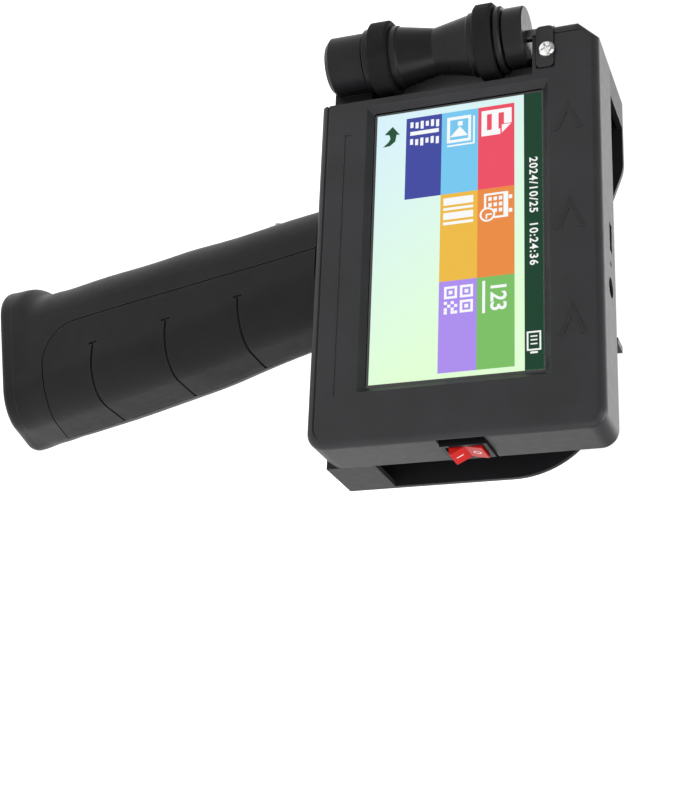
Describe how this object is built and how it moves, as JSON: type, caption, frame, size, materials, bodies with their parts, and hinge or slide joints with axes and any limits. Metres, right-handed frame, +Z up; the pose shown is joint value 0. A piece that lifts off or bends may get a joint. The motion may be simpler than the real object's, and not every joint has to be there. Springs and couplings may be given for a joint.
{
  "type": "date code inkjet printer",
  "caption": "Hand-held inkjet coder with a touch screen, hourglass drive roller with rubber tyres, sliding ink cartridge, rocker switch and a leaning pistol grip.",
  "frame": {"origin": "centre of the touch panel's outer face", "axes": "+X to the user's right, +Y away from the user into the printer, +Z up; the grip hangs down, the print side faces -X"},
  "size_m": [0.1539, 0.1098, 0.2559],
  "materials": {
    "housing_plastic": "fine moulded texture, dark grey",
    "guard_plastic": "fine moulded texture, black",
    "grip_plastic": "fine moulded texture, dark grey",
    "panel_plastic": "soft-touch, dark grey",
    "roller_plastic": "satin black",
    "tyre_rubber": "ground rubber, black",
    "steel": "bright",
    "screw_steel": "bright plated",
    "bronze": "sintered bronze",
    "screen_glass": "clear, glossy",
    "screen_lit": "lit display",
    "board_green": "solder mask",
    "chip_black": "moulded chips",
    "rocker_red": "red, glossy",
    "socket_black": "black",
    "cartridge_black": "black, satin",
    "copper": "gold-plated contact sheet",
    "gasket_foam": "closed-cell foam",
    "cell_wrap": "shrink wrap",
    "guide_steel": "satin"
  },
  "bodies": {
    "printer": {"front_housing": "housing_plastic", "screen_gasket": "gasket_foam", "touch_panel": "screen_glass", "lcd_module": "screen_lit", "lcd_backlight": "steel", "display_ribbon": "copper", "main_board": "board_green", "board_components": "chip_black", "board_screws": "steel", "clock_battery_holder": "chip_black", "clock_battery": "steel", "buzzer": "chip_black", "usb_port": "steel", "dc_jack": "socket_black", "dc_jack_pin": "steel", "reset_switch": "steel", "power_switch_case": "socket_black", "power_switch_terminals": "bronze", "encoder_cover": "roller_plastic", "lower_bush": "bronze", "encoder_sensor": "chip_black", "axle_clamp": "housing_plastic", "axle_clamp_screw": "screw_steel", "rear_guard": "guard_plastic", "bay_floor": "guard_plastic", "guard_posts": "guard_plastic", "guard_screws": "screw_steel", "print_guide": "guide_steel", "contact_block": "chip_black", "contact_pins": "copper", "latch_pin": "steel", "latch_spring": "steel", "grip_front": "grip_plastic", "grip_back": "grip_plastic", "grip_panel": "panel_plastic", "grip_end_cap": "grip_plastic", "end_cap_screw": "screw_steel", "trigger_barrel": "steel", "trigger_spring": "steel", "trigger_switch": "chip_black", "battery_cell_1": "cell_wrap", "battery_cell_2": "cell_wrap", "battery_cradle": "chip_black", "battery_board": "board_green"},
    "roller": {"roller_axle": "steel", "roller_drum": "roller_plastic", "roller_tyre_lower": "tyre_rubber", "roller_tyre_upper": "tyre_rubber", "roller_end_collar": "roller_plastic", "encoder_disc": "steel"},
    "rocker": {"power_rocker": "rocker_red"},
    "trigger": {"trigger_button": "screw_steel"},
    "reset": {"reset_button": "chip_black"},
    "cartridge": {"cartridge_body": "cartridge_black", "nozzle_plate": "copper", "cartridge_contacts": "copper", "cartridge_cap": "cartridge_black"},
    "latch": {"cartridge_latch": "roller_plastic"}
  },
  "joints": [
    {"name": "roller_spin", "type": "hinge", "parent": "printer", "child": "roller", "pos_m": [-0.0699, 0.0003, 0], "axis": [0, 0, 1], "continuous": true},
    {"name": "power_rocker_tilt", "type": "hinge", "parent": "printer", "child": "rocker", "pos_m": [0.067, 0.0088, 0.0022], "axis": [0, 1, 0], "range_deg": [0, 16]},
    {"name": "trigger_press", "type": "slide", "parent": "printer", "child": "trigger", "axis": [1, 0, 0], "range_m": [0, 0.0014], "stiffness_N_per_m": 400, "springref_m": -0.002, "deforming": ["trigger_spring"]},
    {"name": "reset_press", "type": "slide", "parent": "printer", "child": "reset", "axis": [0, 0, -1], "range_m": [0, 0.0004], "stiffness_N_per_m": 300, "springref_m": -0.001},
    {"name": "cartridge_slide", "type": "slide", "parent": "printer", "child": "cartridge", "axis": [1, 0, 0], "range_m": [0, 0.09]},
    {"name": "latch_swing", "type": "hinge", "parent": "printer", "child": "latch", "pos_m": [-0.014, 0.0232, 0.0406], "axis": [0, 1, 0], "range_deg": [-30, 0], "stiffness_Nm_per_rad": 0.02, "springref_deg": 5.73}
  ]
}
